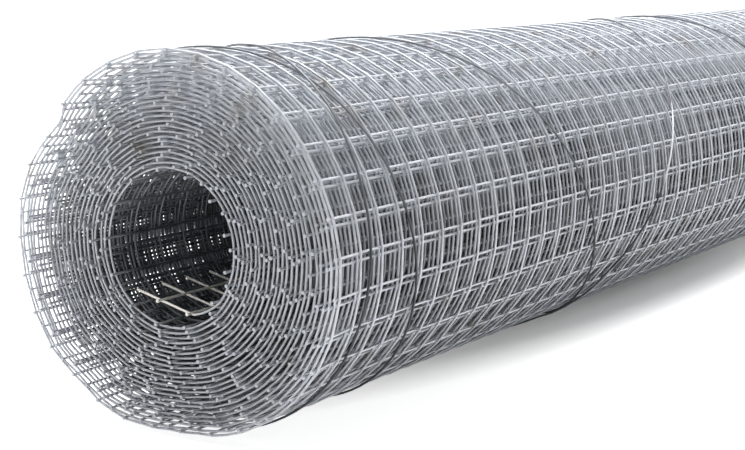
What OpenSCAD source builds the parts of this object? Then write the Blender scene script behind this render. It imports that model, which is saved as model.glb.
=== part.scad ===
// Roll of galvanised square welded mesh, lying on its side and bound with one length of tie wire.
// The roll's axis runs along X. The origin is on the floor, under the middle of the roll.

/* [Mesh] */
// Width of the mesh, which is the length of the roll
mesh_width = 1000; // [500:50:1500]
// Length of mesh that is wound up
mesh_length = 10000; // [5000:500:25000]
// Diameter of the mesh wire
wire_d = 1.2; // [0.7:0.05:1.4]

/* [Winding] */
// Diameter of the open bore
bore_d = 74; // [50:1:150]
// Step from one turn to the next
turn_pitch = 2.55; // [2.2:0.05:3.5]
// Depth of the open gaps between the turns at the two ends
gap_depth = 6; // [2:0.5:20]

/* [Tie wire] */
// Diameter of the tie wire
tie_d = 1.2; // [0.9:0.1:2]
// Distance of the end wraps from the ends of the roll
tie_inset = 26; // [15:1:40]
// Distance that the first wrap moves along the roll before the lacing starts
first_step = 75; // [40:5:110]
// Distance that the last wrap moves along the roll after the lacing ends
last_step = 17; // [10:1:30]
// Length of the twisted tail that closes the tie
tail_length = 24; // [12:1:40]
// Full twists in the tail
tail_twists = 4; // [2:1:5]
// Radius of the bend from the wraps into the tail
tail_bend = 4; // [3:0.5:8]
// Clearance between the tie wire and the mesh under it
seat_gap = 0.2; // [0.1:0.05:0.3]
// Clearance between two strands of tie wire that cross or twist
strand_gap = 0.3; // [0.2:0.05:0.6]
// Distance along the roll over which one strand climbs across another
climb = 30; // [25:1:40]

/* [Hidden] */

// The wound mesh fills a ring whose area is its length times the step between turns.
turned_sides = 120;
bore_r = bore_d / 2;
outer_r = sqrt(bore_r * bore_r + mesh_length * turn_pitch / PI);
gap_count = round((outer_r - bore_r - wire_d) / turn_pitch);
gap_step = (outer_r - bore_r - wire_d) / gap_count;

// The tie wire is swept as a chain of short straight lengths with a six-sided section.
tie_sides = 6;
tie_turn_step = 8;
tie_r = (outer_r + seat_gap + tie_d / 2) / cos(tie_turn_step / 2);
axis_height = (tie_r + tie_d / 2) * cos(tie_turn_step / 2);

// The tie is wound in one direction, out along the roll and back, and ends where it began.
// Angles are measured on the winding. The floor lies at 90, halfway along one straight length.
tail_angle = -210;
winding_turns = 7;
end_angle = tail_angle + 360 * winding_turns;
far_reach = mesh_width - 2 * tie_inset;

// Angles at which the wire starts to move along the roll, and over which it moves and eases:
// the first wrap, the lacing out, the lacing back and the last wrap.
first_start = -150;
first_sweep = 260;
out_start = first_start + first_sweep;
out_sweep = 934;
back_start = 1272;
back_sweep = 852;
last_start = 2070;
last_sweep = 140;
wrap_ease = 65;
lead_in_ease = 192;
far_ease = 60;
lead_out_ease = 80;

// Share of a move made at an angle, from rest through an even run to rest again.
function eased(angle, start, sweep, ease_in, ease_out) =
    let (t = min(max(angle - start, 0), sweep))
    let (run = sweep - (ease_in + ease_out) / 2)
    t < ease_in ? t * t / (2 * ease_in * run) :
    t > sweep - ease_out ? 1 - (sweep - t) * (sweep - t) / (2 * ease_out * run) :
    (t - ease_in / 2) / run;

// Distance of the tie from its first wrap.
function tie_travel(angle) =
    first_step * eased(angle, first_start, first_sweep, wrap_ease, wrap_ease)
    + (far_reach - first_step) * eased(angle, out_start, out_sweep, lead_in_ease, far_ease)
    - (far_reach - last_step) * eased(angle, back_start, back_sweep, far_ease, lead_out_ease)
    - last_step * eased(angle, last_start, last_sweep, wrap_ease, wrap_ease);

function smooth(t) = let (u = min(max(t, 0), 1)) u * u * (3 - 2 * u);

// Height that a strand climbs where an earlier turn of the tie lies close beside or under it.
// Part of the climb is a slope and the rest is level.
climb_slope = 0.6 * climb;
function tie_climb(angle) =
    let (turns_before = floor((angle - tail_angle) / 360))
    let (nearest = min([climb, for (turn = [1:1:turns_before])
        abs(tie_travel(angle) - tie_travel(angle - 360 * turn))]))
    (tie_d + strand_gap) * smooth((climb - nearest) / climb_slope);

// Point on the roll, given its travel, its angle on the winding and its height over the wrap.
function on_roll(travel, angle, height) = [
    tie_inset - mesh_width / 2 + travel,
    -(tie_r + height) * cos(angle),
    -(tie_r + height) * sin(angle)];

// Twisted tail and its bend, for the strand on the side given as 1 or -1, from the bend to the tip.
twist_r = (tie_d + strand_gap) / 2;
bend_steps = 4;
steps_per_twist = 8;
twist_steps = steps_per_twist * tail_twists;
function arc_angle(length) = length / tie_r * 180 / PI;
function tail_strand(side) = concat(
    [for (i = [0:bend_steps])
        let (a = 90 * i / bend_steps)
        on_roll(tail_bend * (1 - cos(a)),
            tail_angle - side * arc_angle(twist_r + tail_bend * (1 - sin(a))),
            twist_r * i / bend_steps)],
    [for (i = [1:twist_steps])
        let (turned = 360 * tail_twists * i / twist_steps)
        on_roll(tail_bend + tail_length * i / twist_steps,
            tail_angle - side * arc_angle(twist_r * cos(turned)),
            twist_r * (1 + side * sin(turned)))]);

function reversed(list) = [for (i = [len(list) - 1:-1:0]) list[i]];

tie_path = concat(
    reversed(tail_strand(-1)),
    [for (angle = [tail_angle + tie_turn_step:tie_turn_step:end_angle - tie_turn_step])
        on_roll(tie_travel(angle), angle, tie_climb(angle))],
    tail_strand(1));

function unit(v) = v / norm(v);

// Section of a swept wire at one point of its path, square to the path there.
function wire_section(path, i, d, sides) =
    let (along = unit(path[min(i + 1, len(path) - 1)] - path[max(i - 1, 0)]))
    let (across = unit(cross(along, [0, path[i][1], path[i][2]])))
    let (outward = cross(across, along))
    [for (k = [0:sides - 1])
        path[i] + d / 2 * (cos(360 * k / sides) * outward + sin(360 * k / sides) * across)];

module swept_wire(path, d, sides) {
    last = len(path) - 1;
    points = [for (i = [0:last]) each wire_section(path, i, d, sides)];
    walls = [for (i = [0:last - 1]) for (k = [0:sides - 1])
        [i * sides + k, (i + 1) * sides + k,
            (i + 1) * sides + (k + 1) % sides, i * sides + (k + 1) % sides]];
    start_cap = [for (k = [0:sides - 1]) k];
    end_cap = [for (k = [sides - 1:-1:0]) last * sides + k];
    polyhedron(points, concat([start_cap, end_cap], walls), convexity = 10);
}

// Half section of the wound mesh, with the gaps between its turns open at both ends.
module roll_section() {
    difference() {
        translate([bore_r, -mesh_width / 2])
            square([outer_r - bore_r, mesh_width]);
        for (turn = [0:gap_count - 1])
            for (end = [-1, 1])
                translate([bore_r + wire_d + turn * gap_step, end * mesh_width / 2 - gap_depth])
                    square([gap_step - wire_d, 2 * gap_depth]);
    }
}

module mesh_roll() {
    color("silver")
        translate([0, 0, axis_height])
            rotate([0, 90, 0])
                rotate_extrude($fn = turned_sides)
                    roll_section();
}

module tie_wire() {
    color("dimgray")
        translate([0, 0, axis_height])
            swept_wire(tie_path, tie_d, tie_sides);
}

mesh_roll();
tie_wire();
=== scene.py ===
"""Dresses a roll of square welded mesh: every wire of the wound sheet, and the tie wire round it."""

import logging
import math
from dataclasses import dataclass
from enum import Enum
from typing import Union

import bpy
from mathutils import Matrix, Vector


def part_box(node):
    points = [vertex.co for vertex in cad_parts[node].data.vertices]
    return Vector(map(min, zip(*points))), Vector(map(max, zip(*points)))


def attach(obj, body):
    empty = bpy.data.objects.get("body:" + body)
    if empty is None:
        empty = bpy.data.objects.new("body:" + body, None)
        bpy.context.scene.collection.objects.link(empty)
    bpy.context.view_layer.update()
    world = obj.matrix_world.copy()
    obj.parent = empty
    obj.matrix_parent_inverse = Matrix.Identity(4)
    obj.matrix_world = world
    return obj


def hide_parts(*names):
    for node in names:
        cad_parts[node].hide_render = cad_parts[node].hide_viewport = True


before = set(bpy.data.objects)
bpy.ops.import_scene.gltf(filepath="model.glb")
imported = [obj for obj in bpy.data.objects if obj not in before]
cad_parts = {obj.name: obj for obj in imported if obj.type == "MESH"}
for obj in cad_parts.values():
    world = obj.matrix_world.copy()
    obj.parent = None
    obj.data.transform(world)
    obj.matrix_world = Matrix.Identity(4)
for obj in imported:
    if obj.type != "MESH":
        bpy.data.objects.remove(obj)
log = logging.getLogger("mesh_roll")

Socket = bpy.types.NodeSocket
Number = Union["Field", float]
Span = tuple[float, float]
Colour = tuple[float, float, float]
Place = tuple[float, float, float]
MM = 0.001
ORIGIN = (0.0, 0.0, 0.0)
WHITE = (1.0, 1.0, 1.0, 1.0)


class Field:
    """A number worked out inside a node tree, which can be used in formulas."""

    def __init__(self, tree: "Wiring", socket: Socket) -> None:
        """Keeps the tree and the socket that the number comes from."""
        self.tree = tree
        self.socket = socket

    def of(self, operation: str, *terms: Number) -> "Field":
        """Result of a math node in the same tree."""
        return Field(self.tree, self.tree.math(operation, *terms))

    def __add__(self, other: Number) -> "Field":
        """Sum."""
        return self.of("ADD", self, other)

    def __sub__(self, other: Number) -> "Field":
        """Difference."""
        return self.of("SUBTRACT", self, other)

    def __rsub__(self, other: Number) -> "Field":
        """Difference from a plain number."""
        return self.of("SUBTRACT", other, self)

    def __mul__(self, other: Number) -> "Field":
        """Product."""
        return self.of("MULTIPLY", self, other)

    def __truediv__(self, other: Number) -> "Field":
        """Quotient."""
        return self.of("DIVIDE", self, other)

    def __pow__(self, other: Number) -> "Field":
        """Power."""
        return self.of("POWER", self, other)

    def sqrt(self) -> "Field":
        """Square root."""
        return self.of("SQRT", self)

    def sin(self) -> "Field":
        """Sine of an angle in radians."""
        return self.of("SINE", self)

    def cos(self) -> "Field":
        """Cosine of an angle in radians."""
        return self.of("COSINE", self)

    def turned_from(self, across: Number) -> "Field":
        """Angle of a place at this height, from the direction across."""
        return self.of("ARCTAN2", self, across)

    def exp(self) -> "Field":
        """Natural exponential."""
        return self.of("EXPONENT", self)

    def size(self) -> "Field":
        """Value without its sign."""
        return self.of("ABSOLUTE", self)

    def nearest(self) -> "Field":
        """Nearest whole number."""
        return self.of("ROUND", self)

    def floor(self) -> "Field":
        """Whole number below."""
        return self.of("FLOOR", self)

    def wrapped(self, span: float) -> "Field":
        """Remainder from 0 up to a span."""
        return self.of("FLOORED_MODULO", self, span)

    def at_least(self, low: Number) -> "Field":
        """Value held from below."""
        return self.of("MAXIMUM", self, low)

    def at_most(self, high: Number) -> "Field":
        """Value held from above."""
        return self.of("MINIMUM", self, high)


class Wiring:
    """A node tree, with short calls that add nodes and feed their sockets."""

    def __init__(self, tree: bpy.types.NodeTree) -> None:
        """Keeps the node tree."""
        self.tree = tree

    def plug(self, socket: Socket, value: object) -> None:
        """Links or sets one input socket.

        Args:
            socket: The socket to feed.
            value: A field, an output socket or a plain value.
        """
        source = value.socket if isinstance(value, Field) else value
        if isinstance(source, Socket):
            self.tree.links.new(source, socket)
        else:
            socket.default_value = source

    def node(self, kind: str, settings: dict[str, object] | None = None, **inputs: object) -> bpy.types.Node:
        """Adds a node.

        Args:
            kind: Type name of the node.
            settings: Properties of the node itself.
            inputs: Values by input name, with underscores for spaces.

        Returns:
            The new node.
        """
        node = self.tree.nodes.new(kind)
        for key, value in (settings or {}).items():
            setattr(node, key, value)
        for key, value in inputs.items():
            self.plug(node.inputs[key.replace("_", " ")], value)
        return node

    def math(self, operation: str, *terms: Number) -> Socket:
        """Adds a math node.

        Args:
            operation: Name of the operation.
            terms: One or two terms.

        Returns:
            The result.
        """
        node = self.node("ShaderNodeMath", {"operation": operation})
        for socket, term in zip(node.inputs, terms):
            self.plug(socket, term)
        return node.outputs[0]

    def split(self, vector: Socket) -> tuple[Field, Field, Field]:
        """Splits a vector into its three coordinates."""
        node = self.node("ShaderNodeSeparateXYZ", Vector=vector)
        return tuple(Field(self, socket) for socket in node.outputs)


class Tree(Wiring):
    """A geometry node tree that is written down as formulas, with named inputs for its sizes."""

    def __init__(self, name: str) -> None:
        """Starts an empty tree.

        Args:
            name: Name of the node group.
        """
        super().__init__(bpy.data.node_groups.new(name, "GeometryNodeTree"))
        self.entry = self.node("NodeGroupInput")
        self.values: dict[str, float | int] = {}
        for way in ("INPUT", "OUTPUT"):
            self.tree.interface.new_socket("Geometry", in_out=way, socket_type="NodeSocketGeometry")
        self.start = self.entry.outputs["Geometry"]

    def number(self, name: str, value: float) -> Field:
        """Adds a named input for a size or a share, which the modifier sets."""
        return self._input(name, value, "NodeSocketFloat")

    def count(self, name: str, value: int) -> Field:
        """Adds a named input for a whole number, which the modifier sets."""
        return self._input(name, value, "NodeSocketInt")

    def _input(self, name: str, value: float | int, kind: str) -> Field:
        """Adds a named input.

        Args:
            name: Name of the input.
            value: Value that the modifier sets.
            kind: Type name of its socket.

        Returns:
            The input as a number for formulas.
        """
        item = self.tree.interface.new_socket(name, in_out="INPUT", socket_type=kind)
        self.values[item.identifier] = value
        return Field(self, self.entry.outputs[name])

    def rise(self, value: Field, low: float, high: float) -> Field:
        """Smooth rise from 0 to 1 between two values.

        Args:
            value: The value.
            low: Where the rise starts.
            high: Where it ends.

        Returns:
            The share of the rise.
        """
        settings = {"interpolation_type": "SMOOTHSTEP"}
        node = self.node("ShaderNodeMapRange", settings, Value=value, From_Min=low, From_Max=high)
        return Field(self, node.outputs[0])

    def noise(self, place: Field, seed: float) -> Field:
        """Smooth noise from -1 to 1 along one number.

        Args:
            place: Where along the noise.
            seed: Fixed offset that keeps two noises apart.

        Returns:
            The noise.
        """
        settings = {"noise_dimensions": "1D"}
        node = self.node("ShaderNodeTexNoise", settings, W=place + seed, Scale=1.0, Detail=1.0)
        return (Field(self, node.outputs[0]) - 0.5) * 2.0

    def index(self) -> Field:
        """Index of the point."""
        return Field(self, self.node("GeometryNodeInputIndex").outputs[0])

    def vector(self, x: Number, y: Number, z: Number) -> Socket:
        """Joins three numbers to a vector."""
        return self.node("ShaderNodeCombineXYZ", X=x, Y=y, Z=z).outputs[0]

    def place(self) -> tuple[Field, Field, Field]:
        """The three coordinates of the point."""
        return self.split(self.node("GeometryNodeInputPosition").outputs[0])

    def named(self, name: str) -> Field:
        """A stored number of the point."""
        node = self.node("GeometryNodeInputNamedAttribute", {"data_type": "FLOAT"}, Name=name)
        return Field(self, node.outputs[0])

    def keep(self, geometry: Socket, name: str, value: Field) -> Socket:
        """Stores a number on every point.

        Args:
            geometry: The points.
            name: Name of the attribute.
            value: The number.

        Returns:
            The points with the attribute.
        """
        kind = "GeometryNodeStoreNamedAttribute"
        settings = {"data_type": "FLOAT", "domain": "POINT"}
        return self.node(kind, settings, Geometry=geometry, Name=name, Value=value).outputs[0]

    def line(self, count: Number, start: Place, step: Place) -> Socket:
        """Points in a straight row, as a mesh, from a first point in even steps."""
        return self.node("GeometryNodeMeshLine", Count=count, Start_Location=start, Offset=step).outputs[0]

    def moved(self, geometry: Socket, position: Socket) -> Socket:
        """Sets where every point is."""
        return self.node("GeometryNodeSetPosition", Geometry=geometry, Position=position).outputs[0]

    def curve(self, mesh: Socket) -> Socket:
        """Turns the edges of a mesh into a curve."""
        return self.node("GeometryNodeMeshToCurve", Mesh=mesh).outputs[0]

    def copies(self, points: Socket, shape: Socket) -> Socket:
        """Puts a copy of a shape on every point and makes the copies real."""
        placed = self.node("GeometryNodeInstanceOnPoints", Points=points, Instance=shape).outputs[0]
        return self.node("GeometryNodeRealizeInstances", Geometry=placed).outputs[0]

    def wire(self, curve: Socket, diameter: float, sides: int, swell: Number = 1.0) -> Socket:
        """Gives a curve a round section, whose flats and corners are as wide as the wire on average.

        Args:
            curve: The curve.
            diameter: Diameter of the wire.
            sides: Sides of its section.
            swell: Width of the wire at every point, as a share of its diameter.

        Returns:
            The wire as a mesh with closed ends.
        """
        half = math.pi / sides
        radius = self.number("Corner radius", diameter / 2 * half / math.sin(half))
        count = self.count("Sides", sides)
        ring = self.node("GeometryNodeCurvePrimitiveCircle", Resolution=count, Radius=radius).outputs[0]
        inputs = {"Curve": curve, "Profile_Curve": ring, "Scale": swell, "Fill_Caps": True}
        return self.node("GeometryNodeCurveToMesh", **inputs).outputs[0]

    def finish(self, geometry: Socket, material: bpy.types.Material) -> None:
        """Ends the tree with smooth, real and dressed geometry.

        Args:
            geometry: What the tree has made.
            material: Material of all its faces.
        """
        smooth = self.node("GeometryNodeSetShadeSmooth", Geometry=geometry).outputs[0]
        real = self.node("GeometryNodeRealizeInstances", Geometry=smooth).outputs[0]
        dressed = self.node("GeometryNodeSetMaterial", Geometry=real, Material=material).outputs[0]
        self.node("NodeGroupOutput", Geometry=dressed)

    def make(self, name: str, path: list[Vector] | None = None) -> bpy.types.Object:
        """Runs the tree once and keeps its result as a plain mesh.

        Args:
            name: Name of the piece.
            path: Points of the line that the tree starts from, if it starts from one.

        Returns:
            The piece, at the origin and with no modifier.
        """
        points = path or []
        base = bpy.data.meshes.new(name)
        base.from_pydata(points, [(i, i + 1) for i in range(len(points) - 1)], [])
        piece = bpy.data.objects.new(name, base)
        bpy.context.scene.collection.objects.link(piece)
        modifier = piece.modifiers.new(self.tree.name, "NODES")
        modifier.node_group = self.tree
        for identifier, value in self.values.items():
            modifier[identifier] = value
        evaluated = piece.evaluated_get(bpy.context.evaluated_depsgraph_get())
        mesh = bpy.data.meshes.new_from_object(evaluated)
        piece.modifiers.clear()
        piece.data = mesh
        mesh.name = name
        return piece


class Shading(Wiring):
    """A material's node tree, with short calls for the nodes that the finishes share."""

    def __init__(self, name: str) -> None:
        """Starts a material with one main shader.

        Args:
            name: Name of the material.
        """
        self.material = bpy.data.materials.new(name)
        self.material.use_nodes = True
        super().__init__(self.material.node_tree)
        self.shader = self.tree.nodes["Principled BSDF"]
        self.place = self.node("ShaderNodeTexCoord").outputs["Object"]

    def noise(self, scale: float) -> Field:
        """Noise from 0 to 1 in the piece's own coordinates, with a number of waves in a metre."""
        node = self.node("ShaderNodeTexNoise", Vector=self.place, Scale=scale, Detail=3.0)
        return Field(self, node.outputs[0])

    def axes(self) -> tuple[Field, Field, Field]:
        """The three coordinates in the piece's own frame."""
        return self.split(self.place)

    def distance(self, place: Place) -> Field:
        """Distance from a place in the piece's own frame.

        Args:
            place: The place.

        Returns:
            The distance.
        """
        node = self.node("ShaderNodeVectorMath", {"operation": "DISTANCE"})
        for socket, end in zip(node.inputs, (self.place, place)):
            self.plug(socket, end)
        return Field(self, node.outputs["Value"])

    def reach(self, value: Field, low: float, high: float) -> Field:
        """Maps a range onto 0 to 1, held at both ends."""
        node = self.node("ShaderNodeMapRange", Value=value, From_Min=low, From_Max=high)
        return Field(self, node.outputs[0])

    def span(self, value: Field, low: float, high: float) -> Field:
        """Maps a value from 0 to 1 onto a range."""
        node = self.node("ShaderNodeMapRange", Value=value, To_Min=low, To_Max=high)
        return Field(self, node.outputs[0])

    def ramp(self, value: Field, stops: list[tuple[float, Colour]]) -> Socket:
        """Colours along a value.

        Args:
            value: The value from 0 to 1.
            stops: Places and linear colours.

        Returns:
            The colour.
        """
        node = self.node("ShaderNodeValToRGB", Fac=value)
        elements = node.color_ramp.elements
        while len(elements) < len(stops):
            elements.new(1.0)
        for element, (place, colour) in zip(elements, stops):
            element.position = place
            element.color = (*colour, 1.0)
        return node.outputs["Color"]

    def blend(self, share: Field, first: Socket | Colour, second: Socket | Colour) -> Socket:
        """Mixes two colours.

        Args:
            share: Share of the second colour.
            first: First colour.
            second: Second colour.

        Returns:
            The mixed colour.
        """
        node = self.node("ShaderNodeMix", {"data_type": "RGBA"}, Factor=share)
        colours = [socket for socket in node.inputs if socket.type == "RGBA"]
        for socket, colour in zip(colours, (first, second)):
            self.plug(socket, colour if isinstance(colour, Socket) else (*colour, 1.0))
        return next(socket for socket in node.outputs if socket.type == "RGBA")

    def bump(self, height: Field, strength: float, depth: float) -> None:
        """Adds fine relief, from a height of 0 to 1 and with a depth in metres."""
        node = self.node("ShaderNodeBump", Height=height, Strength=strength, Distance=depth)
        self.feed("Normal", node.outputs[0])

    def feed(self, name: str, value: object) -> None:
        """Links or sets one input of the main shader."""
        self.plug(self.shader.inputs[name], value)


@dataclass(frozen=True)
class ZincFinish:
    """Hot-dipped zinc on thin wire: pale blue grey, with duller patches and warm stains; painted shade deep
    inside the roll and painted light on the wires of its inner end.
    """

    axis_height: float
    inner_r: float
    outer_r: float
    half_width: float
    bright: Colour = (0.78, 0.805, 0.85)
    dull: Colour = (0.66, 0.685, 0.73)
    patch_edges: Span = (0.3, 0.65)
    patch_scale: float = 260.0
    stain: Colour = (0.34, 0.29, 0.23)
    stain_share: Span = (-2.2, 1.6)
    stain_scale: float = 38.0
    # Painted light: a pale warm colour on the wires of the inner end, inside the bore.
    pale: Colour = (0.93, 0.89, 0.82)
    pale_below: Span = (4.0 * MM, 2.0 * MM)
    # Painted shade: wires deep inside the roll and near its ends are darkened, less so on its upper side
    # where light falls.
    inside: Colour = (0.13, 0.138, 0.15)
    shade_depth: float = 18.0 * MM
    end_share: float = 1.15
    covered_depth: Span = (1.0 * MM, 8.0 * MM)
    covered_share: float = 0.25
    lit_inset: Span = (4.0 * MM, 26.0 * MM)
    top_share: float = 0.75
    grain_scale: float = 1600.0
    grain_strength: float = 0.25
    grain_depth: float = 0.05 * MM
    metallic: float = 0.25
    roughness: Span = (0.5, 0.3)

    def material(self) -> bpy.types.Material:
        """Builds the material.

        Returns:
            The material, for all wires of the mesh.
        """
        shading = Shading("zinc_wire")
        patches = shading.noise(self.patch_scale)
        zinc = shading.ramp(patches, list(zip(self.patch_edges, (self.dull, self.bright))))
        stains = shading.span(shading.noise(self.stain_scale), *self.stain_share)
        zinc = shading.blend(stains, zinc, self.stain)
        x, y, z = shading.axes()
        up = z - self.axis_height
        radius = (y * y + up * up).sqrt()
        # Painted shade: darker deeper inside the roll.
        zinc = shading.blend(self.depth(shading, x, up, radius), zinc, self.inside)
        # Painted light: the wires inside the bore get the pale warm colour.
        wound = shading.reach(radius, *(self.inner_r - below for below in self.pale_below))
        shading.feed("Base Color", shading.blend(wound, self.pale, zinc))
        shading.feed("Metallic", self.metallic)
        shading.feed("Roughness", shading.span(patches, *self.roughness))
        shading.bump(shading.noise(self.grain_scale), self.grain_strength, self.grain_depth)
        return shading.material

    def depth(self, shading: Shading, x: Field, up: Field, radius: Field) -> Field:
        """How much painted shade a place gets: more deeper inside the roll and near its ends, less on its
        upper side where light falls.

        Args:
            shading: The material's node tree.
            x: Place along the roll.
            up: Height over the roll's axis.
            radius: Distance from the axis.

        Returns:
            The share of painted shade, from 0 on the outside to 1 well inside.
        """
        below = self.outer_r - radius
        to_end = self.half_width - x.size()
        nearer = below.at_most(to_end * self.end_share)
        deep = (nearer / self.shade_depth).at_most(1.0)
        covered = shading.reach(below, *self.covered_depth) * self.covered_share
        # Painted light: the upper side of the roll, away from its ends, is spared the painted shade.
        raised = shading.reach(up, 0.0, self.top_share * self.outer_r)
        lit = raised * shading.reach(to_end, *self.lit_inset)
        return deep.at_least(covered) * (1.0 - lit)


@dataclass(frozen=True)
class TieFinish:
    """Annealed tie wire: a dull dark skin, with patchy painted light that greys it on the roll's upper side
    and a painted glint along one length.
    """

    axis_height: float
    skin: Colour = (0.055, 0.058, 0.065)
    # Painted light: grey over the skin on the roll's upper side, in patches.
    painted_light_grey: Colour = (0.25, 0.26, 0.28)
    painted_light_height: Span = (5.0 * MM, 60.0 * MM)
    painted_light_share: Span = (0.5, 1.3)
    # Painted glint: a light length of the tie round one place.
    painted_glint: Colour = (0.70, 0.72, 0.75)
    glint_place: Place = (-0.105, -0.0955, 0.115)
    glint_reach: Span = (23.8 * MM, 34.0 * MM)
    patch_scale: float = 90.0
    grain_scale: float = 1800.0
    grain_strength: float = 0.2
    grain_depth: float = 0.04 * MM
    metallic: float = 0.5
    roughness: Span = (0.6, 0.4)

    def material(self) -> bpy.types.Material:
        """Builds the material.

        Returns:
            The material, for the whole tie wire.
        """
        shading = Shading("tie_wire")
        patches = shading.noise(self.patch_scale)
        height = shading.axes()[2]
        # Painted light: grey on the upper side, in patches.
        upper = shading.reach(height, *(self.axis_height + over for over in self.painted_light_height))
        lit_patches = upper * shading.span(patches, *self.painted_light_share)
        skin = shading.blend(lit_patches, self.skin, self.painted_light_grey)
        # Painted glint round one place of the tie.
        away = shading.reach(shading.distance(self.glint_place), *self.glint_reach)
        shading.feed("Base Color", shading.blend(away, self.painted_glint, skin))
        shading.feed("Metallic", self.metallic)
        shading.feed("Roughness", shading.span(patches, *self.roughness))
        shading.bump(shading.noise(self.grain_scale), self.grain_strength, self.grain_depth)
        return shading.material


@dataclass(frozen=True)
class Waver:
    """A slow random change along the winding: its size, how quickly it changes, and its fixed seed."""

    size: float
    waves: float
    seed: float

    def at(self, tree: Tree, name: str, place: Field) -> Field:
        """The change at a place, with its size as a named input of the tree."""
        return tree.noise(place * self.waves, self.seed) * tree.number(name, self.size)


@dataclass(frozen=True)
class WoundSheet:
    """How the sheet of mesh is wound: its sizes, and the small faults of a hand-wound roll.

    Angles round the roll start at the side that faces the viewer and rise over the top. Spans of angles
    are in degrees, those of the belly from the floor, and say where a change sets in and where it is full.
    slip_starts counts turns from the inner end, and wander_held and tightens count back from the outer end.
    """

    solid_axis: float
    settle: float = 3.15 * MM
    cell: float = 19.05 * MM
    row_step: float = 18.74 * MM
    wire: float = 1.2 * MM
    line_count: int = 53
    inner_r: float = 38.0 * MM
    outer_r: float = 97.0 * MM
    turns: float = 23.646
    row_angle: float = math.radians(35.5)
    rows_past: int = 9
    lean: float = math.radians(1.0)
    flatness: float = 0.8
    inner_flatness: float = 0.3
    unevenness: Waver = Waver(0.4 * MM, waves=0.4, seed=3.0)
    wander: Waver = Waver(0.8 * MM, waves=0.9, seed=11.0)
    wander_held: Span = (1.8, 1.0)
    slip: Waver = Waver(5.0 * MM, waves=0.8, seed=23.0)
    slip_starts: Span = (0.4, 1.2)
    tightness: float = 0.6 * MM
    tightens: Span = (1.0, 0.7)
    spring: float = 3.2 * MM
    spring_cells: float = 2.2
    spring_curve: float = 1.5
    hook: float = 4.0 * MM
    flat_end: Span = (0.970, 0.244)
    bore_shift: float = 0.2 * MM
    bulge: float = 7.1 * MM
    bulge_full: float = 0.76
    bulge_starts: Span = (140.0, 176.0)
    bulge_eases: Span = (217.0, 232.0)
    bulge_left: float = 0.5
    packing: float = 0.45 * MM
    pack_start: float = 0.2
    outer_group: int = 2
    next_group: int = 3
    bottom_starts: Span = (240.0, 272.0)
    foot: float = 2.5 * MM
    foot_ends: Span = (276.0, 292.0)
    belly: float = 4.6 * MM
    belly_starts: Span = (8.0, 62.0)
    belly_ends: Span = (76.0, 126.0)
    pinch: float = 3.3 * MM
    pinch_angle: float = 143.0
    pinch_width: float = 7.0
    sag: float = 2.2 * MM
    sag_curve: float = 4.0
    cinch: float = 0.8 * MM
    cinch_width: float = 14.0 * MM
    flare_length: float = 60.0 * MM
    loose_length: float = 260.0 * MM
    held_share: float = 0.2

    @property
    def axis_height(self) -> float:
        """Height of the winding's axis, a little under the solid's, so that the tie rests on the floor."""
        return self.solid_axis - self.settle

    @property
    def rows(self) -> int:
        """Number of the last row of cross wire."""
        return round(math.pi * (self.inner_r + self.outer_r) * self.turns / self.row_step)

    @property
    def pitch(self) -> float:
        """Step from one turn to the next."""
        return (self.outer_r - self.inner_r) / self.turns

    @property
    def edge(self) -> float:
        """Distance of the first and last line wire from the middle of the roll."""
        return (self.line_count - 1) / 2 * self.cell

    @property
    def end_angle(self) -> float:
        """Angle of the last row, which puts another row of the outer turn where the photo shows one."""
        step = self.row_step / self.outer_r
        return self.row_angle + math.sin(self.row_angle) * self.lean + self.rows_past * step

    def nominal(self, tree: Tree, points: Socket, cell: Field, inset: float) -> Socket:
        """Winds a row of points up, as if all turns were round.

        Args:
            tree: The tree that works it out.
            points: The points.
            cell: Their places along the sheet, in cells from its inner end.
            inset: Distance below the middle of the line wires.

        Returns:
            The points, with their angle, their looseness and their share of the way out stored.
        """
        inner = tree.number("Inner radius", self.inner_r)
        outer = tree.number("Outer radius", self.outer_r)
        wound = cell.at_least(1.0)
        radius = (inner * inner + (outer * outer - inner * inner) / self.rows * wound).sqrt()
        fullness = (radius - inner) / (outer - inner)
        hollow = 1.0 - fullness
        turn = fullness * self.turns
        even = (turn - self.turns) * math.tau + self.end_angle
        slip = self.slip.at(tree, "Slip", turn) * hollow * tree.rise(turn, *self.slip_starts)
        angle = even - even.sin() * self.lean + slip / radius
        real = self.bent(tree, wound, radius, fullness)
        real = real - (cell - self.rows).at_least(0.0) * tree.number("Hooked end", self.hook) - inset
        flat = (1.0 - cell).at_least(0.0) * self.row_step
        held = tree.rise(turn, *(self.turns - before for before in self.wander_held))
        along = self.wander.at(tree, "Edge wander", turn) * (1.0 - held)
        across = hollow * self.bore_shift + flat * self.flat_end[0] - real * angle.cos()
        height = real * angle.sin() + flat * self.flat_end[1] + self.axis_height
        number = ((even - self.end_angle) / -math.tau - self.pack_start).floor()
        bulge = (fullness / self.bulge_full).at_most(1.0) * tree.number("Bulge", self.bulge)
        points = tree.keep(points, "turned", angle)
        points = tree.keep(points, "loose", bulge + self.packed(tree, number))
        points = tree.keep(points, "outer", fullness.at_least(0.0) ** 2.0)
        return tree.moved(points, tree.vector(along, across, height))

    def bent(self, tree: Tree, wound: Field, radius: Field, fullness: Field) -> Field:
        """Distance of a wire from the axis, with its flats between rows and its sprung inner end.

        Args:
            tree: The tree that works it out.
            wound: Place along the sheet, in cells from its inner end.
            radius: Distance from the axis if the turn were round.
            fullness: Share of the way out.

        Returns:
            The distance.
        """
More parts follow.
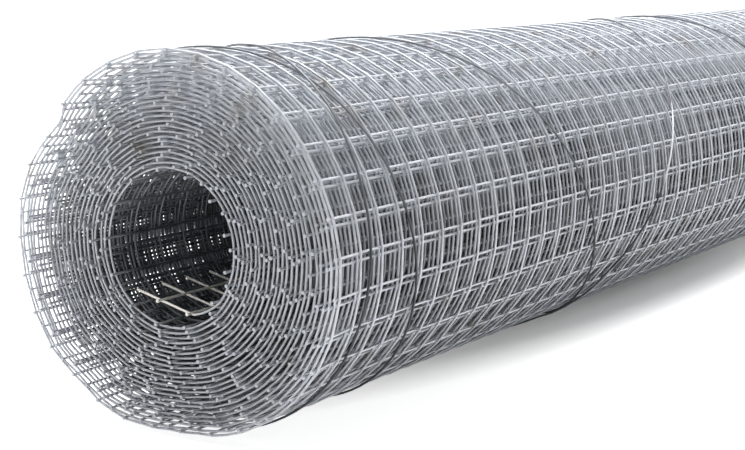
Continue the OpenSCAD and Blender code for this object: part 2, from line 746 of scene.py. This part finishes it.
        # A straight length dips below the round turn by its length squared over eight radii.
        between = (wound - wound.nearest()).size() * 2.0
        between = between * (2.0 - between)
        share = fullness * (1.0 - self.inner_flatness) + self.inner_flatness
        flattened = between * share * (self.flatness * self.row_step ** 2 / 8.0)
        free = (self.spring_cells - wound).at_least(0.0) / (self.spring_cells - 1.0)
        pulled = tree.rise(fullness * self.turns, *(self.turns - before for before in self.tightens))
        real = radius - flattened / radius + self.unevenness.at(tree, "Unevenness", wound)
        real = real - free ** self.spring_curve * tree.number("Inner end spring", self.spring)
        return real - pulled * tree.number("Tightness", self.tightness)

    def packed(self, tree: Tree, number: Field) -> Field:
        """Shift of the turns that lie packed in two groups on the loose side, with a gap after each group.

        Args:
            tree: The tree that works it out.
            number: Number of the turn on that side, from the outermost.

        Returns:
            The shift, outwards.
        """
        both = self.outer_group + self.next_group
        ends = (self.outer_group, both)
        past_first, past_second = (tree.rise(number, end - 0.6, end - 0.4) for end in ends)
        first = (number - (self.outer_group - 1) / 2) * (1.0 - past_first)
        second = (number - self.outer_group - (self.next_group - 1) / 2) * (past_first - past_second)
        return (first + second) * tree.number("Packing", self.packing)

    def swell(self, tree: Tree, angle: Field, along: Field, loose: Number, outer: Number) -> Field:
        """How far a turn stands off a true circle.

        Args:
            tree: The tree that works it out.
            angle: Angle round the roll.
            along: Place along the roll.
            loose: How far the turn stands off on the loose side.
            outer: How far the turn lies to the outside, from 0 to 1.

        Returns:
            The distance, outwards.
        """
        degrees = (angle * (180.0 / math.pi)).wrapped(360.0)
        from_floor = (degrees + 90.0).wrapped(360.0)
        bottom = tree.rise(degrees, *self.bottom_starts)
        eased = tree.rise(degrees, *self.bulge_eases) * (1.0 - self.bulge_left) + bottom * self.bulge_left
        side = tree.rise(degrees, *self.bulge_starts) - eased
        foot = bottom - tree.rise(degrees, *self.foot_ends)
        belly = tree.rise(from_floor, *self.belly_starts) - tree.rise(from_floor, *self.belly_ends)
        dent = (degrees - self.pinch_angle) / self.pinch_width
        pinch = (dent * dent * -1.0).exp() * tree.number("Pinch", self.pinch)
        to_end = self.edge - along.size()
        free = (to_end / -self.flare_length).exp().at_most(1.0)
        flare = free * (1.0 - self.held_share) + self.held_share
        top = angle.sin().at_least(0.0) ** self.sag_curve * (1.0 - free) * tree.number("Sag", self.sag)
        pressed = (pinch + foot * tree.number("Foot", self.foot)) * flare + top
        pressed = pressed - belly * flare * tree.number("Belly", self.belly)
        slack = (to_end / -self.loose_length).exp().at_most(1.0)
        return side * slack * loose - pressed * outer

    def settled(self, tree: Tree, points: Socket, tie: bpy.types.Object) -> Socket:
        """Moves wound points to where the outer turns lie, which are not round and are held by the tie.

        Args:
            tree: The tree that works it out.
            points: The points, with what the winding has stored on them.
            tie: The tie wire.

        Returns:
            The moved points.
        """
        x, y, z = tree.place()
        angle = tree.named("turned")
        outer = tree.named("outer")
        strand = tree.node("GeometryNodeObjectInfo", Object=tie).outputs["Geometry"]
        gap = Field(tree, tree.node("GeometryNodeProximity", Geometry=strand).outputs["Distance"])
        near = gap / self.cinch_width
        held = (near * near * -1.0).exp() * tree.number("Cinch", self.cinch)
        off = self.swell(tree, angle, x, tree.named("loose"), outer) - held * outer
        return tree.moved(points, tree.vector(x, y - angle.cos() * off, z + angle.sin() * off))

    def seated(self, tree: Tree, points: Socket, radius: float) -> Socket:
        """Moves points that lie round a true cylinder onto the outermost turn.

        Args:
            tree: The tree that works it out.
            points: The points.
            radius: Radius of the cylinder under them.

        Returns:
            The moved points.
        """
        x, y, z = tree.place()
        angle = (z - self.axis_height).turned_from(y * -1.0)
        share = ((angle - self.end_angle) / math.tau).wrapped(1.0)
        pulled = tree.rise(share, *(1.0 - before for before in self.tightens))
        surface = self.outer_r + self.wire / 2 - (1.0 - share) * self.pitch
        surface = surface - pulled * self.tightness - self.cinch
        loose = self.bulge - self.packing * (self.outer_group - 1) / 2
        off = surface + self.swell(tree, angle, x, loose, 1.0) - radius
        return tree.moved(points, tree.vector(x, y - angle.cos() * off, z + angle.sin() * off))


class Course(Enum):
    """Straight lengths that a line wire has in each cell, as it bends round the roll."""

    PLAIN = 2
    FINE = 4


@dataclass
class MeshRoll:
    """The wound mesh: the wires that run round it and the wires that run along it."""

    sheet: WoundSheet
    tie: bpy.types.Object
    material: bpy.types.Material
    sides: int = 6
    outer_cells: int = 105
    edge_wires: int = 3
    core_points: int = 16
    outer_points: int = 48
    stub: float = 5.0 * MM
    outer_stub: float = 2.8 * MM
    end_wander: Waver = Waver(1.3 * MM, waves=7.31, seed=40.0)
    drop: float = 2.6 * MM
    drop_swell: float = 1.5
    inner_tail: float = 0.95
    outer_tail: float = 0.7

    def line_wires(self, name: str, cells: Span, wires: range, course: Course) -> bpy.types.Object:
        """Makes wires that run along the sheet, and so round the roll.

        Args:
            name: Name of the piece.
            cells: Cells where the wires start and end.
            wires: Numbers of the wires, from the near end.
            course: How finely the wires follow their bend.

        Returns:
            The piece.
        """
        tree = Tree(name)
        first, last = cells
        points = math.ceil((last - first) * course.value) + 1
        row = tree.line(tree.count("Points", points), ORIGIN, ORIGIN)
        cell = (tree.index() / course.value + tree.number("First cell", first)).at_most(last)
        turn = self.sheet.nominal(tree, row, cell, 0.0)
        start = wires.start * self.sheet.cell - self.sheet.edge
        places = tree.line(tree.count("Wires", len(wires)), (start, 0.0, 0.0), (self.sheet.cell, 0.0, 0.0))
        placed = self.sheet.settled(tree, tree.copies(places, tree.curve(turn)), self.tie)
        tree.finish(tree.wire(placed, self.sheet.wire, self.sides), self.material)
        return tree.make(name)

    def cross_wires(self, name: str, rows: range, points: int, stub: float) -> bpy.types.Object:
        """Makes wires that run across the sheet, and so along the roll.

        Args:
            name: Name of the piece.
            rows: Numbers of the rows, from the inner end of the sheet.
            points: Points along a wire, closer together towards its ends.
            stub: Length that stands out past the first and the last line wire.

        Returns:
            The piece.
        """
        tree = Tree(name)
        row = tree.line(tree.count("Wires", len(rows)), ORIGIN, ORIGIN)
        number = tree.index() + rows.start
        feet = tree.keep(row, "row", number)
        feet = self.sheet.nominal(tree, feet, number, self.sheet.wire)
        along = tree.curve(self.spread(tree, points, stub))
        placed = self.sheet.settled(tree, tree.copies(feet, along), self.tie)
        x, y, z = tree.place()
        slip = self.end_wander.at(tree, "End wander", tree.named("row"))
        placed = tree.moved(placed, tree.vector(x + slip, y, z))
        tree.finish(tree.wire(placed, self.sheet.wire, self.sides, tree.named("swell")), self.material)
        return tree.make(name)

    def spread(self, tree: Tree, points: int, stub: float) -> Socket:
        """Spreads the points of a cross wire along the roll, closer towards its ends, with drops on its tips.

        Args:
            tree: The tree that works it out.
            points: How many points.
            stub: Length that stands out past the first and the last line wire.

        Returns:
            The points, with the width of the wire stored as a share of its diameter.
        """
        row = tree.line(tree.count("Points", points), (-1.0, 0.0, 0.0), (2.0 / (points - 1), 0.0, 0.0))
        tip = tree.rise((tree.index() - (points - 1) / 2).size(), points / 2 - 1.0, points / 2 - 0.9)
        held = (tree.place()[0] * ((points - 1) / (points - 3))).at_least(-1.0).at_most(1.0)
        reach = tree.number("Reach", self.sheet.edge + stub) - (1.0 - tip) * tree.number("Drop", self.drop)
        closer = held * 1.5 - held ** 3.0 * 0.5
        row = tree.moved(row, tree.vector(closer * reach, 0.0, 0.0))
        return tree.keep(row, "swell", tip * (self.drop_swell - 1.0) + 1.0)

    def build(self) -> list[bpy.types.Object]:
        """Makes every piece of the wound mesh.

        Returns:
            The pieces.
        """
        rows, wires, edge = self.sheet.rows, self.sheet.line_count, self.edge_wires
        split = rows - self.outer_cells
        third = (wires - 2 * edge) // 3
        core = (-self.inner_tail, split)
        outer = (split, rows + self.outer_tail)
        near, middle = range(edge, edge + third), range(edge + third, wires - edge - third)
        far = range(middle.stop, wires - edge)
        return [
            self.line_wires("line_wires_edge_near", core, range(edge), Course.FINE),
            self.line_wires("line_wires_core_near", core, near, Course.PLAIN),
            self.line_wires("line_wires_core_middle", core, middle, Course.PLAIN),
            self.line_wires("line_wires_core_far", core, far, Course.PLAIN),
            self.line_wires("line_wires_edge_far", core, range(wires - edge, wires), Course.FINE),
            self.line_wires("line_wires_outer", outer, range(wires), Course.PLAIN),
            self.cross_wires("cross_wires_core", range(split), self.core_points, self.stub),
            self.cross_wires("cross_wires_outer", range(split, rows + 1), self.outer_points, self.outer_stub),
        ]

    def dress(self, pieces: list[bpy.types.Object]) -> None:
        """Puts the wires in the place of the plain roll.

        Args:
            pieces: The pieces of the wound mesh.
        """
        for piece in pieces:
            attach(piece, "root")
            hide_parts("mesh_roll")


def smooth(share: float) -> float:
    """Eases a share from 0 to 1, level at both ends."""
    held = min(max(share, 0.0), 1.0)
    return held * held * (3.0 - 2.0 * held)


@dataclass(frozen=True)
class Move:
    """One move of the tie along the roll while it winds, in degrees of winding."""

    reach: float
    start: float
    sweep: float
    ease_in: float
    ease_out: float

    def at(self, angle: float) -> float:
        """Distance moved at an angle of the winding.

        Args:
            angle: Angle of the winding.

        Returns:
            The distance, from rest through an even run to rest again.
        """
        turned = min(max(angle - self.start, 0.0), self.sweep)
        run = self.sweep - (self.ease_in + self.ease_out) / 2
        left = self.sweep - turned
        if turned < self.ease_in:
            share = turned * turned / (2 * self.ease_in * run)
        elif left < self.ease_out:
            share = 1.0 - left * left / (2 * self.ease_out * run)
        else:
            share = (turned - self.ease_in / 2) / run
        return self.reach * share


@dataclass
class TieWire:
    """The single tie wire, wound out along the roll and back and twisted with its own start."""

    material: bpy.types.Material
    sheet: WoundSheet
    roll_r: float
    half_width: float
    wire: float = 1.2 * MM
    sides: int = 8
    seat_gap: float = 0.2 * MM
    strand_gap: float = 0.3 * MM
    inset: float = 26.0 * MM
    first_step: float = 75.0 * MM
    last_step: float = 17.0 * MM
    climb: float = 30.0 * MM
    climb_slope: float = 0.6
    start_angle: float = -210.0
    turns: int = 7
    step: float = 4.0
    tail_bend: float = 4.0 * MM
    tail_length: float = 24.0 * MM
    tail_twists: int = 4
    bend_steps: int = 6
    twist_steps: int = 12

    @property
    def wrap_r(self) -> float:
        """Radius of a wrap, at the middle of its wire."""
        return self.roll_r + self.seat_gap + self.wire / 2

    @property
    def moves(self) -> list[Move]:
        """The first wrap, the lacing out, the lacing back and the last wrap."""
        far = 2.0 * (self.half_width - self.inset)
        return [
            Move(self.first_step, start=-150.0, sweep=260.0, ease_in=65.0, ease_out=65.0),
            Move(far - self.first_step, start=110.0, sweep=934.0, ease_in=192.0, ease_out=60.0),
            Move(self.last_step - far, start=1272.0, sweep=852.0, ease_in=60.0, ease_out=80.0),
            Move(-self.last_step, start=2070.0, sweep=140.0, ease_in=65.0, ease_out=65.0),
        ]

    def travel(self, angle: float) -> float:
        """Distance of the tie from its first wrap at an angle of the winding."""
        return sum(move.at(angle) for move in self.moves)

    def lift(self, angle: float) -> float:
        """Height that a strand climbs over an earlier turn close beside or under it.

        Args:
            angle: Angle of the winding.

        Returns:
            The height over the wrap.
        """
        before = math.floor((angle - self.start_angle) / 360.0)
        here = self.travel(angle)
        gaps = [abs(here - self.travel(angle - 360.0 * turn)) for turn in range(1, before + 1)]
        nearest = min([self.climb, *gaps])
        share = (self.climb - nearest) / (self.climb_slope * self.climb)
        return (self.wire + self.strand_gap) * smooth(share)

    def point(self, travel: float, angle: float, height: float) -> Vector:
        """Point of the tie.

        Args:
            travel: Distance from the first wrap.
            angle: Angle of the winding.
            height: Height over the wrap.

        Returns:
            The point.
        """
        radius = self.wrap_r + height
        turned = math.radians(angle)
        across, up = -radius * math.cos(turned), self.sheet.axis_height - radius * math.sin(turned)
        return Vector((self.inset - self.half_width + travel, across, up))

    def tail(self, side: int) -> list[Vector]:
        """Bend and twisted tail of one end of the tie.

        Args:
            side: 1 for the end of the tie and -1 for its start.

        Returns:
            The points from the bend to the tip.
        """
        twist_r = (self.wire + self.strand_gap) / 2
        degrees = math.degrees(1.0 / self.wrap_r)
        points = []
        for i in range(self.bend_steps + 1):
            bent = math.radians(90.0 * i / self.bend_steps)
            aside = twist_r + self.tail_bend * (1.0 - math.sin(bent))
            along = self.tail_bend * (1.0 - math.cos(bent))
            angle = self.start_angle - side * degrees * aside
            points.append(self.point(along, angle, twist_r * i / self.bend_steps))
        steps = self.twist_steps * self.tail_twists
        for i in range(1, steps + 1):
            turned = math.tau * self.tail_twists * i / steps
            along = self.tail_bend + self.tail_length * i / steps
            angle = self.start_angle - side * degrees * twist_r * math.cos(turned)
            points.append(self.point(along, angle, twist_r * (1.0 + side * math.sin(turned))))
        return points

    def path(self) -> list[Vector]:
        """Lays the tie round the roll.

        Returns:
            All points of the tie, from the tip of its start to the tip of its end.
        """
        count = round(360.0 * self.turns / self.step)
        angles = [self.start_angle + self.step * i for i in range(2, count - 1)]
        wound = [self.point(self.travel(angle), angle, self.lift(angle)) for angle in angles]
        return [*reversed(self.tail(-1)), *wound, *self.tail(1)]

    def build(self) -> bpy.types.Object:
        """Makes the tie wire.

        Returns:
            The piece.
        """
        tree = Tree("tie_wire_path")
        path = tree.curve(self.sheet.seated(tree, tree.start, self.roll_r))
        tree.finish(tree.wire(path, self.wire, self.sides), self.material)
        return tree.make("tie_wire_strand", self.path())

    def dress(self, piece: bpy.types.Object) -> None:
        """Puts the tie wire in the place of its plain form.

        Args:
            piece: The tie wire.
        """
        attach(piece, "root")
        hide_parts("tie_wire")


@dataclass(frozen=True)
class Softbox:
    """A soft lamp: where it hangs, where it points, its width and height, and its power in watts."""

    name: str
    place: Place
    aim: Place
    size: Span
    power: float

    def build(self) -> None:
        """Hangs the lamp."""
        data = bpy.data.lights.new(self.name, "AREA")
        data.shape = "RECTANGLE"
        data.size, data.size_y = self.size
        data.energy = self.power
        lamp = bpy.data.objects.new(self.name, data)
        bpy.context.scene.collection.objects.link(lamp)
        lamp.location = self.place
        lamp.rotation_euler = (Vector(self.aim) - Vector(self.place)).to_track_quat("-Z", "Y").to_euler()


@dataclass
class Studio:
    """Plain pale floor, soft light and the camera."""

    near_edge: float
    axis_height: float
    image_width: int = 745
    focal_pixels: float = 1675.07
    azimuth: float = math.radians(57.0746)
    drop: float = math.radians(9.2188)
    eye: Place = (-0.6204, -0.5180, 0.1411)
    sensor: float = 36.0
    floor_half: float = 12.0
    floor_colour: Colour = (0.8, 0.8, 0.8)
    floor_roughness: float = 0.9
    glow_stops: tuple[Span, ...] = ((0.0, 0.0), (0.06, 0.3), (0.09, 0.86), (0.3, 0.9), (0.8, 1.0))
    glow_along: float = 0.2
    sky: Colour = (0.93, 0.96, 1.0)
    sky_turn: Span = (-0.3, 0.7)
    front_light: float = 0.07
    back_light: float = 0.33
    softboxes: tuple[Softbox, ...] = (
        Softbox("top_softbox", (0.35, 0.4, 2.0), (0.2, 0.0, 0.1), (3.0, 1.8), 98.0),
        Softbox("side_card", (1.7, -1.3, 0.7), (0.1, 0.0, 0.1), (1.2, 1.0), 5.0),
    )

    def camera(self) -> None:
        """Sets the camera at the viewing angle."""
        data = bpy.data.cameras.new("camera")
        data.sensor_width = self.sensor
        data.lens = self.sensor * self.focal_pixels / self.image_width
        camera = bpy.data.objects.new("camera", data)
        bpy.context.scene.collection.objects.link(camera)
        look = Vector((math.sin(self.azimuth) * math.cos(self.drop),
                       math.cos(self.azimuth) * math.cos(self.drop), -math.sin(self.drop)))
        camera.location = Vector((self.near_edge, 0.0, self.axis_height)) + Vector(self.eye)
        camera.rotation_euler = look.to_track_quat("-Z", "Y").to_euler()
        bpy.context.scene.camera = camera

    def floor(self) -> None:
        """Lays a wide white floor."""
        half = self.floor_half
        corners = [(-half, -half, 0.0), (half, -half, 0.0), (half, half, 0.0), (-half, half, 0.0)]
        mesh = bpy.data.meshes.new("floor")
        mesh.from_pydata(corners, [], [(0, 1, 2, 3)])
        floor = bpy.data.objects.new("floor", mesh)
        bpy.context.scene.collection.objects.link(floor)
        shading = Shading("floor")
        shading.feed("Base Color", (*self.floor_colour, 1.0))
        shading.feed("Roughness", self.floor_roughness)
        shading.feed("Emission Color", WHITE)
        shading.feed("Emission Strength", self.glow(shading))
        mesh.materials.append(shading.material)

    def glow(self, shading: Shading) -> Field:
        """Glow that turns the floor white in the picture, more so away from the roll.

        Args:
            shading: The floor's material.

        Returns:
            The strength of the glow.
        """
        x, y, _ = shading.axes()
        along = x * self.glow_along
        away = (along * along + y * y).sqrt()
        fade = shading.ramp(away, [(place, (strength,) * 3) for place, strength in self.glow_stops])
        return self.seen(shading) * Field(shading, fade)

    def seen(self, wiring: Wiring) -> Field:
        """Picks the rays that show the background: those of the camera, of reflections and of glass.

        Args:
            wiring: The node tree.

        Returns:
            1 for these rays and 0 for others.
        """
        path = wiring.node("ShaderNodeLightPath")
        names = ("Is Camera Ray", "Is Glossy Ray", "Is Transmission Ray")
        camera, glossy, glass = (Field(wiring, path.outputs[name]) for name in names)
        return camera.at_least(glossy).at_least(glass)

    def surround(self) -> None:
        """Sets the world: a white backdrop, and soft light that is stronger from behind the roll."""
        world = bpy.data.worlds.new("studio")
        bpy.context.scene.world = world
        world.use_nodes = True
        wiring = Wiring(world.node_tree)
        wiring.tree.nodes.clear()
        incoming = wiring.node("ShaderNodeNewGeometry").outputs["Incoming"]
        towards = (-math.sin(self.azimuth), -math.cos(self.azimuth), 0.0)
        behind = wiring.node("ShaderNodeVectorMath", {"operation": "DOT_PRODUCT"})
        for socket, direction in zip(behind.inputs, (incoming, towards)):
            wiring.plug(socket, direction)
        low, high = self.sky_turn
        limits = {"From_Min": low, "From_Max": high, "To_Min": self.front_light, "To_Max": self.back_light}
        settings = {"interpolation_type": "SMOOTHSTEP"}
        strength = wiring.node("ShaderNodeMapRange", settings, Value=behind.outputs["Value"], **limits)
        soft = wiring.node("ShaderNodeBackground", Color=(*self.sky, 1.0), Strength=strength.outputs[0])
        white = wiring.node("ShaderNodeBackground", Color=WHITE)
        mix = wiring.node("ShaderNodeMixShader")
        for socket, source in zip(mix.inputs, (self.seen(wiring), soft.outputs[0], white.outputs[0])):
            wiring.plug(socket, source)
        wiring.node("ShaderNodeOutputWorld", Surface=mix.outputs[0])

    def build(self) -> None:
        """Sets up the whole studio."""
        self.camera()
        self.floor()
        self.surround()
        for softbox in self.softboxes:
            softbox.build()
        bpy.context.scene.view_settings.view_transform = "Standard"


def main() -> None:
    """Builds the roll and its studio, in order, and reports each piece."""
    logging.basicConfig(level=logging.INFO, format="%(message)s")
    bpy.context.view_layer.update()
    low, high = (Vector(corner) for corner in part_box("mesh_roll"))
    solid_axis = (low.z + high.z) / 2
    sheet = WoundSheet(solid_axis)
    Studio(-sheet.edge, sheet.axis_height).build()
    tie = TieWire(TieFinish(sheet.axis_height).material(), sheet, high.z - solid_axis, high.x)
    strand = tie.build()
    zinc = ZincFinish(sheet.axis_height, sheet.inner_r, sheet.outer_r, sheet.edge).material()
    roll = MeshRoll(sheet, strand, zinc)
    wires = roll.build()
    roll.dress(wires)
    tie.dress(strand)
    for piece in [*wires, strand]:
        piece.data.calc_loop_triangles()
        log.info("%s: %d triangles", piece.name, len(piece.data.loop_triangles))


if __name__ == "__main__":
    main()
